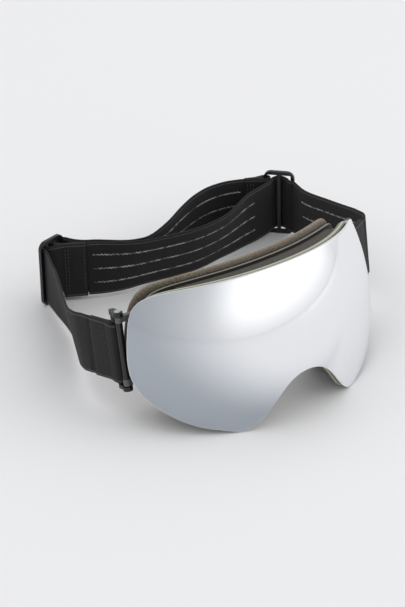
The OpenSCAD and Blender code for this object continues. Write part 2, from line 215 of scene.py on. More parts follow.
def grain(material, scale, detail):
    """Noise over the piece, with features about 1 / scale metres across."""
    place = add_node(material, "ShaderNodeTexCoord")
    noise = add_node(material, "ShaderNodeTexNoise", Scale=scale, Detail=detail)
    link(material, place, "Object", noise, "Vector")
    return noise


def color_ramp(material, factor, output, dark, light, low, high):
    """Colour that goes from dark to light as the factor goes from low to high."""
    ramp = add_node(material, "ShaderNodeValToRGB")
    ramp.color_ramp.elements[0].position = low
    ramp.color_ramp.elements[0].color = (*dark, 1.0)
    ramp.color_ramp.elements[1].position = high
    ramp.color_ramp.elements[1].color = (*light, 1.0)
    link(material, factor, output, ramp, "Fac")
    return ramp


def mottle(material, shader, factor, output, dark, light, low=0.35, high=0.65):
    """Colours the shader between dark and light by a factor."""
    ramp = color_ramp(material, factor, output, dark, light, low, high)
    link(material, ramp, "Color", shader, "Base Color")


def plastic(name, color, roughness):
    """Moulded plastic with a fine grain."""
    grain_scale, grain_height = 2600.0, 0.00002
    material, shader = principled(name, color, roughness)
    noise = grain(material, grain_scale, 2.0)
    add_bump(material, shader, noise, "Fac", grain_height, 0.5)
    return material


def mirror_material():
    """Mirror coat, painted reflection: blue-grey at the rim, whiter mid-lens and at a slant."""
    middle = (CENTRING[0] * MM, 0.0, 0.068)
    reach = (0.088, 1.0, 0.064)
    # painted reflection: blue-grey stands for dim surroundings, white for the bright floor seen in
    # the mirror
    painted_rim_reflection, painted_middle_reflection = (0.44, 0.475, 0.52), (0.93, 0.94, 0.96)
    material, shader = principled("mirror_coat", (0.8, 0.82, 0.85), 0.07, 1.0, alpha=0.96)
    place = add_node(material, "ShaderNodeTexCoord")
    shift = add_node(material, "ShaderNodeVectorMath", operation="SUBTRACT")
    shift.inputs[1].default_value = middle
    link(material, place, "Object", shift, 0)
    shrink = add_node(material, "ShaderNodeVectorMath", operation="DIVIDE")
    shrink.inputs[1].default_value = reach
    link(material, shift, "Vector", shrink, 0)
    away = add_node(material, "ShaderNodeVectorMath", operation="LENGTH")
    link(material, shrink, "Vector", away, 0)
    # painted reflection grows whiter towards the middle of the lens and where the lens is seen at
    # a slant
    middle_reflection_weight = ease_between(material, away, "Value", 1.0, 0.42)
    slant = add_node(material, "ShaderNodeLayerWeight", Blend=0.5)
    slant_reflection_weight = ease_between(material, slant, "Facing", 0.24, 0.5)
    painted_reflection_amount = add_node(material, "ShaderNodeMath", operation="MAXIMUM")
    link(material, middle_reflection_weight, "Result", painted_reflection_amount, 0)
    link(material, slant_reflection_weight, "Result", painted_reflection_amount, 1)
    mottle(material, shader, painted_reflection_amount, "Value", painted_rim_reflection, painted_middle_reflection, 0.0, 1.0)
    return material


def foam_material(name, dark, light, scale=1500.0, height=0.0004):
    """Open-cell foam, or thread where the cells are small: dark pores among lighter walls."""
    material, shader = principled(name, light, 0.95, sheen=0.15)
    noise = grain(material, scale, 5.0)
    mottle(material, shader, noise, "Fac", dark, light)
    add_bump(material, shader, noise, "Fac", height)
    return material


def foam_toned_by_depth(name):
    """Foam whose front half, next to the flange, is darker than the half by the face."""
    material, shader = principled(name, (0.2, 0.16, 0.1), 0.95, sheen=0.1)
    # the tone attribute darkens the foam towards the flange and round the eye opening, and
    # lightens it by the face
    tone = add_node(material, "ShaderNodeAttribute", attribute_name="tone")
    noise = grain(material, 1300.0, 5.0)
    front = color_ramp(material, noise, "Fac", (0.040, 0.034, 0.023), (0.15, 0.13, 0.095),
                       0.35, 0.7)
    rear = color_ramp(material, noise, "Fac", (0.16, 0.12, 0.078), (0.42, 0.34, 0.245),
                      0.35, 0.65)
    # A Mix node has a set of sockets for each kind of data, and these three are for colours
    first_color, second_color, mixed_color = 6, 7, 2
    blend = add_node(material, "ShaderNodeMix", data_type="RGBA")
    link(material, tone, "Fac", blend, "Factor")
    link(material, front, "Color", blend, first_color)
    link(material, rear, "Color", blend, second_color)
    link(material, blend, mixed_color, shader, "Base Color")
    add_bump(material, shader, noise, "Fac", 0.0005)
    return material


def webbing_material():
    """Knitted elastic webbing: fine ribs along it, picks across it, and a paler edge thread.

    The UV map runs along the webbing in x and across it in y, both in metres."""
    rib_pitch = 0.0011
    pick_pitch = 0.0009
    wave_period = 2 * math.pi / 20
    edge_thread_at = (STRAP_W / 2 - 1.7) * MM
    edge_thread_to = (STRAP_W / 2 - 1.0) * MM
    material, shader = principled("webbing", (0.008, 0.0075, 0.0078), 0.9, sheen=0.03)
    place = add_node(material, "ShaderNodeUVMap", uv_map="webbing")
    ribs = add_node(material, "ShaderNodeTexWave", bands_direction="Y",
                    Scale=wave_period / rib_pitch)
    picks = add_node(material, "ShaderNodeTexWave", bands_direction="X",
                     Scale=wave_period / pick_pitch)
    noise = add_node(material, "ShaderNodeTexNoise", Scale=900.0, Detail=3.0)
    for texture in (ribs, picks, noise):
        link(material, place, "UV", texture, "Vector")
    weave = add_node(material, "ShaderNodeMath", operation="ADD")
    link(material, ribs, "Fac", weave, 0)
    link(material, picks, "Fac", weave, 1)
    add_bump(material, shader, weave, "Value", 0.00012, 0.6)
    split = add_node(material, "ShaderNodeSeparateXYZ")
    link(material, place, "UV", split, "Vector")
    across = add_node(material, "ShaderNodeMath", operation="ABSOLUTE")
    link(material, split, "Y", across, 0)
    above = add_node(material, "ShaderNodeMath", operation="GREATER_THAN")
    above.inputs[1].default_value = edge_thread_at
    link(material, across, "Value", above, 0)
    below = add_node(material, "ShaderNodeMath", operation="LESS_THAN")
    below.inputs[1].default_value = edge_thread_to
    link(material, across, "Value", below, 0)
    thread = add_node(material, "ShaderNodeMath", operation="MULTIPLY")
    link(material, above, "Value", thread, 0)
    link(material, below, "Value", thread, 1)
    broken = add_node(material, "ShaderNodeMath", operation="MULTIPLY")
    link(material, thread, "Value", broken, 0)
    link(material, noise, "Fac", broken, 1)
    mottle(material, shader, broken, "Value", (0.0085, 0.0078, 0.0081), (0.085, 0.083, 0.085),
           low=0.0, high=0.7)
    return material


def silicone_material():
    """Pale silicone print, worn thin in places so that its colour breaks up."""
    material, shader = principled("silicone", (0.2, 0.2, 0.205), 0.45)
    noise = grain(material, 300.0, 2.0)
    mottle(material, shader, noise, "Fac", (0.05, 0.05, 0.051), (0.40, 0.40, 0.41), 0.38, 0.6)
    return material


def fleece_material():
    material, shader = principled("fleece", (0.03, 0.026, 0.034), 1.0, sheen=0.5)
    noise = grain(material, 2200.0, 6.0)
    mottle(material, shader, noise, "Fac", (0.016, 0.013, 0.018), (0.060, 0.052, 0.066))
    add_bump(material, shader, noise, "Fac", 0.0006)
    return material


MATERIALS = {
    "lens_mirror": mirror_material(),
    "lens_back": principled("lens_back", (0.09, 0.095, 0.09), 0.08, alpha=0.75)[0],
    "inner_lens": principled("inner_lens", (0.20, 0.215, 0.20), 0.06, alpha=0.55)[0],
    "gasket": foam_material("gasket", (0.012, 0.012, 0.012), (0.03, 0.03, 0.03)),
    "black_plastic": plastic("black_plastic", (0.007, 0.007, 0.0072), 0.3),
    "boss_plastic": plastic("boss_plastic", (0.10, 0.10, 0.102), 0.45),
    "frame_plastic": plastic("frame_plastic", (0.055, 0.048, 0.033), 0.42),
    "rim_plastic": plastic("rim_plastic", (0.42, 0.43, 0.33), 0.4),
    "flange_edge": plastic("flange_edge", (0.20, 0.195, 0.18), 0.45),
    "vent_foam": foam_material("vent_foam", (0.015, 0.013, 0.009), (0.07, 0.06, 0.043)),
    "dark_foam": foam_material("dark_foam", (0.012, 0.010, 0.008), (0.040, 0.034, 0.027)),
    "face_foam": foam_toned_by_depth("face_foam"),
    "fleece": fleece_material(),
    "webbing": webbing_material(),
    "thread": foam_material("thread", (0.03, 0.03, 0.03), (0.07, 0.07, 0.07), 4000.0, 0.0001),
    "silicone": silicone_material(),
    "steel": principled("steel", (0.5, 0.5, 0.51), 0.3, 1.0)[0],
    "magnet": principled("magnet", (0.55, 0.55, 0.56), 0.3, 1.0)[0],
}


# ---- Curves and surfaces ------------------------------------------------------------------

def mirrored(half):
    """Closed control polygon of an outline that is the same on both sides."""
    return np.array(list(half) + [(-x, z) for x, z in half[:0:-1]], float)


def spline(control, s):
    """Uniform cubic B-spline through a closed control polygon, at parameters s."""
    n = len(control)
    i = np.floor(s).astype(int)
    t = (s - i)[:, None]
    a, b, c, d = (control[(i + k) % n] for k in (-1, 0, 1, 2))
    return ((1 - t) ** 3 * a + (3 * t ** 3 - 6 * t ** 2 + 4) * b
            + (-3 * t ** 3 + 3 * t ** 2 + 3 * t + 1) * c + t ** 3 * d) / 6


def edge(control, inset):
    """The outline's points, moved inwards by inset."""
    s = np.arange(STATIONS) * len(control) / STATIONS
    step = 0.01
    along = spline(control, s + step) - spline(control, s - step)
    along /= np.linalg.norm(along, axis=1)[:, None]
    return spline(control, s) + inset * np.stack([along[:, 1], -along[:, 0]], 1)


def lens_place(points, depth):
    """Points at a depth behind the lens face: x, depth, height."""
    reach = LENS_R_H - LENS_R_V + np.sqrt(LENS_R_V ** 2 - points[:, 1] ** 2)
    k = (reach - depth) / reach
    return np.stack([points[:, 0] * k,
                     LENS_R_H - k * np.sqrt(reach ** 2 - points[:, 0] ** 2), points[:, 1]], 1)


def face_place(points, depth):
    """Points at a distance in front of the wearer's face."""
    x, z = points[:, 0], points[:, 1]
    nose = NOSE_DIP * np.exp(-(x / NOSE_HALF_W) ** 2) * np.clip((20 - z) / 35, 0, 1)
    y = (FACE_DEPTH + FACE_R_H - np.sqrt(FACE_R_H ** 2 - x ** 2)
         - (FACE_R_V - np.sqrt(FACE_R_V ** 2 - z ** 2)) - nose)
    return np.stack([x, y - depth, z], 1)


LENS_LOOP = mirrored(LENS_HALF)
FACE_LOOP = mirrored(FACE_HALF)
OPENING_LOOP = mirrored(OPENING_HALF)


def lens_edge(inset, depth):
    """The lens's outline, moved inwards, at a depth behind the lens face."""
    return lens_place(edge(LENS_LOOP, inset), depth)


def face_edge(inset, depth):
    """The foam's outer outline, moved inwards, at a distance in front of the face."""
    return face_place(edge(FACE_LOOP, inset), depth)


def opening_edge(inset, depth):
    """The outline of the eye opening, moved inwards, at a distance in front of the face."""
    return face_place(edge(OPENING_LOOP, inset), depth)


def standing_matrix():
    """Mask frame to row frame, both in millimetres."""
    return (Matrix.Translation(CENTRING) @ Matrix.Translation((0, 0, LENS_CENTRE_H))
            @ Matrix.Rotation(-math.radians(LEAN), 4, "X"))


def right_hinge_matrix():
    """Left outrigger's mask frame to the right outrigger, swung outwards, in the row frame."""
    pin = Vector((*PIN, 0))
    mirror = Matrix.Scale(-1, 4, (1, 0, 0))
    return (Matrix.Translation(CENTRING) @ mirror @ Matrix.Translation((0, 0, LENS_CENTRE_H))
            @ Matrix.Rotation(-math.radians(LEAN), 4, "X") @ Matrix.Translation(pin)
            @ Matrix.Rotation(math.radians(RIGHT_SWING), 4, "Z") @ Matrix.Translation(-pin))


STANDING = standing_matrix()


def to_row(points, matrix=STANDING):
    """Millimetre points through a matrix, as metres in the row frame."""
    m = np.array(matrix)
    points = np.asarray(points, float)
    return (points @ m[:3, :3].T + m[:3, 3]) * MM


# ---- Meshes -------------------------------------------------------------------------------

def new_object(name, vertices, faces, materials, face_slots=None, smooth_angle=40.0):
    """A mesh object whose normals point outwards and whose edges are sharp past an angle."""
    mesh = bpy.data.meshes.new(name)
    mesh.from_pydata([tuple(v) for v in vertices], [], faces)
    for key in materials:
        mesh.materials.append(MATERIALS[key])
    if face_slots is not None:
        mesh.polygons.foreach_set("material_index", face_slots)
    shape = bmesh.new()
    shape.from_mesh(mesh)
    bmesh.ops.recalc_face_normals(shape, faces=shape.faces)
    shape.to_mesh(mesh)
    shape.free()
    mesh.shade_smooth()
    mesh.set_sharp_from_angle(angle=math.radians(smooth_angle))
    made = bpy.data.objects.new(name, mesh)
    bpy.context.scene.collection.objects.link(made)
    return made


def soften(obj, width, segments=2, angle=35.0):
    """Rounds the edges of a piece."""
    bevel = obj.modifiers.new("round_edges", "BEVEL")
    bevel.width = width * MM
    bevel.segments = segments
    bevel.limit_method = "ANGLE"
    bevel.angle_limit = math.radians(angle)
    bevel.harden_normals = True
    return obj


def stands_for(obj, body, slot, *nodes):
    """Puts a finished piece on its body in place of its CAD nodes."""
    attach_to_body(obj, body)
    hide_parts(*nodes)
    return obj


def ring_faces(sections, stations):
    """Faces of a closed ring with that many section points and stations."""
    return [(i * stations + j, i * stations + (j + 1) % stations,
             ((i + 1) % sections) * stations + (j + 1) % stations,
             ((i + 1) % sections) * stations + j)
            for i in range(sections) for j in range(stations)]


def ring(name, loops, materials, section_slots=None, tones=None, smooth_angle=40.0):
    """Closed ring whose section passes through the loops in turn.

    section_slots gives the material of the strip that follows each loop."""
    stations = len(loops[0])
    slots = None
    if section_slots:
        slots = [section_slots[i] for i in range(len(loops)) for _ in range(stations)]
    made = new_object(name, to_row(np.concatenate(loops)), ring_faces(len(loops), stations),
                      materials, slots, smooth_angle)
    if tones is not None:
        attribute = made.data.attributes.new("tone", "FLOAT", "POINT")
        attribute.data.foreach_set("value", np.repeat(tones, stations).astype(np.float32))
    return made


def rounded_section(loops, tones, rounds=2):
    """Cuts the corners off a ring's section, once for each round."""
    for _ in range(rounds):
        count = len(loops)
        pairs = [(i, (i + 1) % count) for i in range(count)]
        tones = [tones[a] + (tones[b] - tones[a]) * t for a, b in pairs for t in (0.25, 0.75)]
        loops = [loops[a] + (loops[b] - loops[a]) * t for a, b in pairs for t in (0.25, 0.75)]
    return loops, tones


def filled_sheet(name, front, back, round_r, inset, materials):
    """A curved plate with a rounded edge, filling the lens outline at that inset."""
    rings, spacing = 34, 0.85
    centre = np.array([[0.0, 15.0]])
    slots, faces = [], []
    outline = edge(LENS_LOOP, inset + round_r)
    spread = [(k / rings) ** spacing for k in range(1, rings + 1)]
    loops = [(centre + (outline - centre) * t, front) for t in spread]
    bulge = 4
    for k in range(1, bulge):
        turn = math.pi * k / bulge / 2
        loops.append((edge(LENS_LOOP, inset + round_r * (1 - math.sin(turn))),
                      front + round_r * (1 - math.cos(turn))))
    loops.append((edge(LENS_LOOP, inset), front + round_r))
    loops.append((edge(LENS_LOOP, inset), back - round_r))
    for k in range(bulge - 1, 0, -1):
        turn = math.pi * k / bulge / 2
        loops.append((edge(LENS_LOOP, inset + round_r * (1 - math.sin(turn))),
                      back - round_r * (1 - math.cos(turn))))
    loops += [(centre + (outline - centre) * t, back) for t in reversed(spread)]
    vertices = np.concatenate([lens_place(points, depth) for points, depth in loops])
    for i in range(len(loops) - 1):
        for j in range(STATIONS):
            k = (j + 1) % STATIONS
            faces.append((i * STATIONS + j, i * STATIONS + k,
                          (i + 1) * STATIONS + k, (i + 1) * STATIONS + j))
            slots.append(1 if i >= rings + bulge else 0)
    last = len(vertices)
    vertices = np.concatenate([vertices, lens_place(centre, front), lens_place(centre, back)])
    start = (len(loops) - 1) * STATIONS
    for j in range(STATIONS):
        k = (j + 1) % STATIONS
        faces.append((last, k, j))
        slots.append(0)
        faces.append((last + 1, start + j, start + k))
        slots.append(1)
    return new_object(name, to_row(vertices), faces, materials, slots, 60.0)


def cad_piece(node, slot, round_r, segments=3):
    """A CAD node's own shape with its edges rounded."""
    source = frame["nodes"][node]
    shape = bmesh.new()
    shape.from_mesh(source.data)
    bmesh.ops.remove_doubles(shape, verts=shape.verts, dist=0.004 * MM)
    bmesh.ops.dissolve_limit(shape, angle_limit=math.radians(2), verts=shape.verts,
                             edges=shape.edges)
    mesh = bpy.data.meshes.new(node + "_finished")
    shape.to_mesh(mesh)
    shape.free()
    mesh.materials.clear()
    mesh.materials.append(MATERIALS[slot])
    mesh.shade_smooth()
    mesh.set_sharp_from_angle(angle=math.radians(35))
    made = bpy.data.objects.new(node + "_finished", mesh)
    bpy.context.scene.collection.objects.link(made)
    soften(made, round_r, segments)
    return stands_for(made, source["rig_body"], slot, node)


# ---- Lens ---------------------------------------------------------------------------------

def build_lens():
    """Both lenses, the gasket between them and the ring that carries them."""
    outer = filled_sheet("outer_lens_mirror", 0.0, LENS_T, 0.45, 0.0,
                         ["lens_mirror", "lens_back"])
    stands_for(outer, "lens", "lens_mirror", "outer_lens")
    inner = filled_sheet("inner_lens_clear", INNER_FRONT, INNER_FRONT + INNER_T, 0.3,
                         GASKET_EDGE + 0.3, ["inner_lens", "inner_lens"])
    stands_for(inner, "lens", "inner_lens", "inner_lens")
    gasket_inner = GASKET_EDGE + GASKET_W
    gasket = ring("gasket_strip", [
        lens_edge(GASKET_EDGE, CARRIER_FRONT), lens_edge(gasket_inner, CARRIER_FRONT),
        lens_edge(gasket_inner - 0.3, (CARRIER_FRONT + INNER_FRONT) / 2),
        lens_edge(gasket_inner, INNER_FRONT - 0.1),
        lens_edge(GASKET_EDGE, INNER_FRONT - 0.1)], ["gasket"])
    stands_for(soften(gasket, 0.2), "lens", "gasket", "lens_gasket")
    inner_wall = CARRIER_EDGE + CARRIER_WALL
    carrier = ring("carrier_ring", [
        lens_edge(CARRIER_EDGE, CARRIER_FRONT), lens_edge(inner_wall, CARRIER_FRONT),
        lens_edge(inner_wall, CARRIER_FLANGE),
        lens_edge(gasket_inner, CARRIER_FLANGE), lens_edge(gasket_inner, CARRIER_BACK),
        lens_edge(CARRIER_EDGE, CARRIER_BACK)], ["black_plastic"])
    stands_for(soften(carrier, 0.2), "lens", "black_plastic", "lens_carrier")


# ---- Frame --------------------------------------------------------------------------------

def build_frame_shell():
    """Frame shell, from its rim round the lens recess and back along the web to the flange."""
    inner_edge = WEB_EDGE + WALL_T
    seat_inner = RECESS_EDGE + SEAT_W
    rim_outer = RECESS_EDGE - 0.9
    loops = [
        lens_edge(RIM_EDGE, RIM_FRONT), lens_edge(RECESS_EDGE, RIM_FRONT),
        lens_edge(RECESS_EDGE, SEAT_FRONT), lens_edge(seat_inner, SEAT_FRONT),
        lens_edge(seat_inner, SEAT_BACK), lens_edge(inner_edge, SEAT_BACK),
        face_edge(inner_edge - 1, FOAM_T + WALL_T), opening_edge(0, FOAM_T + WALL_T),
        opening_edge(0, FOAM_T), face_edge(0, FOAM_T), face_edge(0, FOAM_T + WALL_T),
        face_edge(WEB_EDGE - 1, FOAM_T + WALL_T), lens_edge(WEB_EDGE, SEAT_BACK),
        lens_edge(rim_outer, SEAT_BACK - 0.6), lens_edge(rim_outer, RIM_BACK + 0.4),
        lens_edge(RIM_EDGE, RIM_BACK)]
    rim_strips = (0, 14, 15)
    flange_strip = 9
    slots = [1 if i in rim_strips else 2 if i == flange_strip else 0 for i in range(len(loops))]
    shell = ring("frame_shell_moulded", loops, ["frame_plastic", "rim_plastic", "flange_edge"],
                 slots)
    stands_for(soften(shell, 0.25), "frame", "frame_plastic", "frame_shell")


def vent_strip(first, last):
    """Sections of a strip of foam on the web, between two of the part's stations."""
    scale = STATIONS // PART_STATIONS
    lift, foam = 0.25, 1.1
    margin = 0.08
    stations = np.arange(first * scale, last * scale + 1) % STATIONS
    front = lens_edge(WEB_EDGE, SEAT_BACK)[stations]
    back = face_edge(WEB_EDGE - 1, FOAM_T + WALL_T)[stations]
    out = (edge(LENS_LOOP, 0) - edge(LENS_LOOP, 1))[stations]
    out = np.stack([out[:, 0], np.zeros(len(out)), out[:, 1]], 1)
    near = front + margin * (back - front)
    far = front + (1 - margin) * (back - front)
    rows = [near + lift * out]
    steps = 8
    for k in range(steps + 1):
        crown = foam * (0.8 + 0.2 * math.sin(math.pi * k / steps))
        rows.append(near + (far - near) * k / steps + (lift + crown) * out)
    rows.append(far + lift * out)
    return np.stack(rows, 1)


def bar_mesh(sections):
    """Vertices and faces of a closed bar through the sections, an array of [station, point]."""
    count, around = sections.shape[:2]
    faces = [(i * around + j, i * around + (j + 1) % around,
              (i + 1) * around + (j + 1) % around, (i + 1) * around + j)
             for i in range(count - 1) for j in range(around)]
    faces.append(tuple(range(around)))
    faces.append(tuple((count - 1) * around + j for j in range(around)))
    return sections.reshape(-1, 3), faces


def build_vents():
    """Vent foam: one strip along the top of the web and two under it."""
    runs = {"top_vent_foam": [(75, 93)], "bottom_vent_foam": [(24, 29), (55, 60)]}
    for node, spans in runs.items():
        for k, (first, last) in enumerate(spans):
            vertices, faces = bar_mesh(vent_strip(first, last))
            strip = new_object(f"{node}_strip_{k}", to_row(vertices), faces, ["vent_foam"])
            stands_for(strip, "frame", "vent_foam", node)


def build_face_foam():
    """Three layers of padding, from the flange to the face."""
    base = ring("foam_base_layer", [
        face_edge(0.8, FOAM_T - 0.1), opening_edge(-0.5, FOAM_T - 0.1),
        opening_edge(-0.5, FOAM_T - 1.8), face_edge(0.8, FOAM_T - 1.8)], ["dark_foam"])
    stands_for(base, "frame", "dark_foam", "face_foam_base")
    loops = [face_edge(0.3, FOAM_T - 1.9), opening_edge(0, FOAM_T - 1.9), opening_edge(0, 4),
             opening_edge(-2, 2), face_edge(3, 1.0), face_edge(0.4, 1.8), face_edge(-1.3, 4.0),
             face_edge(-1.3, 6.6), face_edge(-0.6, 8.4)]
    tones = [0.0, 0.0, 0.0, 0.3, 1.0, 1.0, 1.0, 0.35, 0.0]
    loops, tones = rounded_section(loops, tones)
    core = ring("foam_core_layer", loops, ["face_foam"], tones=tones, smooth_angle=60.0)
    stands_for(core, "frame", "face_foam", "face_foam_core")
    loops = [face_edge(3.4, 1.1), opening_edge(-2.4, 1.8), opening_edge(-2.6, 0.4),
             face_edge(4.2, 0)]
    loops, tones = rounded_section(loops, [0] * len(loops), 1)
    fleece = ring("fleece_layer", loops, ["fleece"], smooth_angle=60.0)
    stands_for(fleece, "frame", "fleece", "face_fleece")


# ---- Webbing ------------------------------------------------------------------------------

def route_point(route, s):
    """Catmull-Rom curve through an open route, at parameter s."""
    last = len(route) - 1
    i = min(int(s), last - 1)
    t = s - i
    b, c = route[i], route[i + 1]
    a = route[i - 1] if i > 0 else 2 * b - c
    d = route[i + 2] if i < last - 1 else 2 * c - b
    return (b + t * (c - a) / 2 + t ** 2 * (a - 2.5 * b + 2 * c - d / 2)
            + t ** 3 * (1.5 * (b - c) + (d - a) / 2))


class Webbing:
    """A strap's route: where its middle is and which way its width and inner face point."""

    def __init__(self, points):
        self.route = np.array(points, float)
        self.last = len(points) - 1
        fine = np.linspace(0, self.last, 40 * self.last + 1)
        places = np.array([route_point(self.route, s)[:3] for s in fine])
        steps = np.linalg.norm(np.diff(places, axis=0), axis=1)
        self.fine = fine
        self.run = np.concatenate([[0], np.cumsum(steps)])

    def at(self, s):
        """Middle, width direction and thickness direction at s, in the route's millimetres."""
        reach = 0.02
        p = route_point(self.route, s)
        way = (route_point(self.route, min(self.last, s + reach))
               - route_point(self.route, max(0, s - reach)))[:3]
        way /= np.linalg.norm(way)
        up = np.array([0.0, 0.0, 1.0]) - way[2] * way
        up /= np.linalg.norm(up)
        side = np.cross(way, up)
        lean = math.radians(p[3])
        wide = math.cos(lean) * up + math.sin(lean) * side
        return p[:3], wide, np.cross(way, wide)

    def spaced(self, first, last, pitch):
        """Parameters from first to last, about pitch millimetres apart."""
        low, high = np.interp([first, last], self.fine, self.run)
        count = max(2, int(round((high - low) / pitch)) + 1)
        return np.interp(np.linspace(low, high, count), self.run, self.fine)

    def length_at(self, s):
        """Distance along the strap from its start to s, in millimetres."""
        return float(np.interp(s, self.fine, self.run))


LEFT = Webbing(LEFT_ROUTE)
RIGHT = Webbing(RIGHT_ROUTE)


def webbing_profile():
    """Section of the webbing, with rounded edges: distance across it and thickness."""
    half_w, half_t = STRAP_W / 2, STRAP_T / 2
    flats, corner = 18, 0.55
    top = [(-half_w + corner + (2 * half_w - 2 * corner) * k / flats, half_t)
           for k in range(flats + 1)]
    right = [(half_w - 0.15, half_t * 0.72), (half_w, 0.0), (half_w - 0.15, -half_t * 0.72)]
    bottom = [(x, -t) for x, t in reversed(top)]
    left = [(-x, -t) for x, t in right]
    return np.array(top + right + bottom + left)


def add_webbing_uv(mesh, along, across):
    """UV map named webbing, from each vertex's distance along and across, in metres."""
    layer = mesh.uv_layers.new(name="webbing")
    for loop in mesh.loops:
        layer.data[loop.index].uv = (along[loop.vertex_index], across[loop.vertex_index])


def ribbon(name, webbing, first, last, seed):
    """Length of webbing from one parameter to another, slightly cupped, with square ends."""
    pitch, cup_height, cup_run = 1.3, 0.12, 23
    profile = webbing_profile()
    rng = random.Random(seed)
    phase = rng.uniform(0, 6)
    stops = webbing.spaced(first, last, pitch)
    rows, along = [], []
    for s in stops:
        middle, wide, out = webbing.at(s)
        run = webbing.length_at(s)
        cup = cup_height * math.sin(run / cup_run + phase)
        shift = cup * (1 - (2 * profile[:, 0] / STRAP_W) ** 2)
        rows.append(middle + profile[:, :1] * wide + (profile[:, 1:] + shift[:, None]) * out)
        along += [run * MM] * len(profile)
    sections = np.array(rows)
    vertices, faces = bar_mesh(sections)
    made = new_object(name, (vertices + CENTRING) * MM, faces, ["webbing"], smooth_angle=70.0)
    add_webbing_uv(made.data, along, np.tile(profile[:, 0] * MM, len(stops)))
    return made


def zigzag_lines(name, webbing, first, last, inner):
    """Three silicone lines that zigzag along the inner face; inner is +1 or -1."""
    line_pitch = 10
    pitch, swing = 2.4, 0.34
    bead_w, bead_t, sunk = 0.85, 0.32, 0.05
    stops = webbing.spaced(first, last, pitch / 4)
    vertices, faces = [], []
    for height in (-line_pitch, 0, line_pitch):
        rows = []
        for k, s in enumerate(stops):
            middle, wide, out = webbing.at(s)
            wave = height + swing * (0, 1, 0, -1)[k % 4]
            corners = [(-bead_w / 2, 0.0), (bead_w / 2, 0.0), (bead_w / 3, bead_t),
                       (-bead_w / 3, bead_t)]
            rows.append([middle + (wave + c) * wide + inner * (STRAP_T / 2 - sunk + t) * out
                         for c, t in corners])
        found, quads = bar_mesh(np.array(rows))
        start = sum(len(v) for v in vertices)
        vertices.append(found)
        faces += [tuple(start + i for i in quad) for quad in quads]
    return new_object(name, (np.concatenate(vertices) + CENTRING) * MM, faces, ["silicone"],
                      smooth_angle=50.0)


def build_straps():
    """Straps in three lengths each, with zigzag silicone lines on their inner faces."""
    # Name, route, inner side, bodies at its two ends, and where its first length ends and its
    # last begins
    plans = (
        ("left", LEFT, 1, "outrigger_left", "slider_right", 7, 25),
        ("right", RIGHT, -1, "outrigger_right", "slider_left", 8, 23))
    grips = {"left": ((1, 7), (25.3, 31.6)), "right": ((1, 8), (19, 23), (23, 30.6))}
    for k, (side, webbing, inner, outrigger, slider, bend, tail) in enumerate(plans):
        limits = {"side": (0, bend), "middle": (bend, tail), "tail": (tail, webbing.last)}
        for part, (start, end) in limits.items():
            piece = ribbon(f"strap_{side}_{part}", webbing, start, end, SEED + k)
            attach(piece, webbing, part, start, end, outrigger, slider)
            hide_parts(f"strap_{side}")
        for n, (start, end) in enumerate(grips[side]):
            part = next(p for p, (a, b) in limits.items() if a <= start and end <= b)
            lines = zigzag_lines(f"grip_{side}_{n}", webbing, start, end, inner)
            attach(lines, webbing, part, *limits[part], outrigger, slider)
            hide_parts(f"grip_lines_{side}")


def attach(piece, webbing, part, start, end, outrigger, slider):
    """Fixes the first and last lengths where they are, and puts the middle length on the frame."""
    here = [Vector(tuple((webbing.at(s)[0] + CENTRING) * MM)) for s in (start, end)]
    if part == "side":
        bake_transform(piece)
    elif part == "tail":
        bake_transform(piece)
    else:
        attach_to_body(piece, "frame")


# ---- Sewn ends ----------------------------------------------------------------------------

def sewn_outline(length):
    """Outline of webbing folded round a bar at the origin and sewn flat along +x."""
    fold_r = BAR_R + LOOP_GAP + STRAP_T
    sew_start = 8.0
    tangent = math.radians(76)
    arc_steps = 30
    arc = [(fold_r * math.cos(tangent + (2 * math.pi - 2 * tangent) * k / arc_steps),
            fold_r * math.sin(tangent + (2 * math.pi - 2 * tangent) * k / arc_steps))
           for k in range(arc_steps + 1)]
    steps = 8
    slope = []
    for k in range(1, steps):
        t = k / steps
        ease = t * t * (3 - 2 * t)
        slope.append((arc[-1][0] + (sew_start - arc[-1][0]) * t,
                      arc[-1][1] + (-STRAP_T - arc[-1][1]) * ease))
    low = arc + slope + [(sew_start, -STRAP_T), (length - 0.3, -STRAP_T), (length, -STRAP_T + 0.3)]
    groove = [(length, -0.2), (length - 0.7, 0.0), (length, 0.2)]
    high = [(length, STRAP_T - 0.3), (length - 0.3, STRAP_T), (sew_start, STRAP_T)]
    high += [(x, -y) for x, y in reversed(slope)]
    return low + groove + high


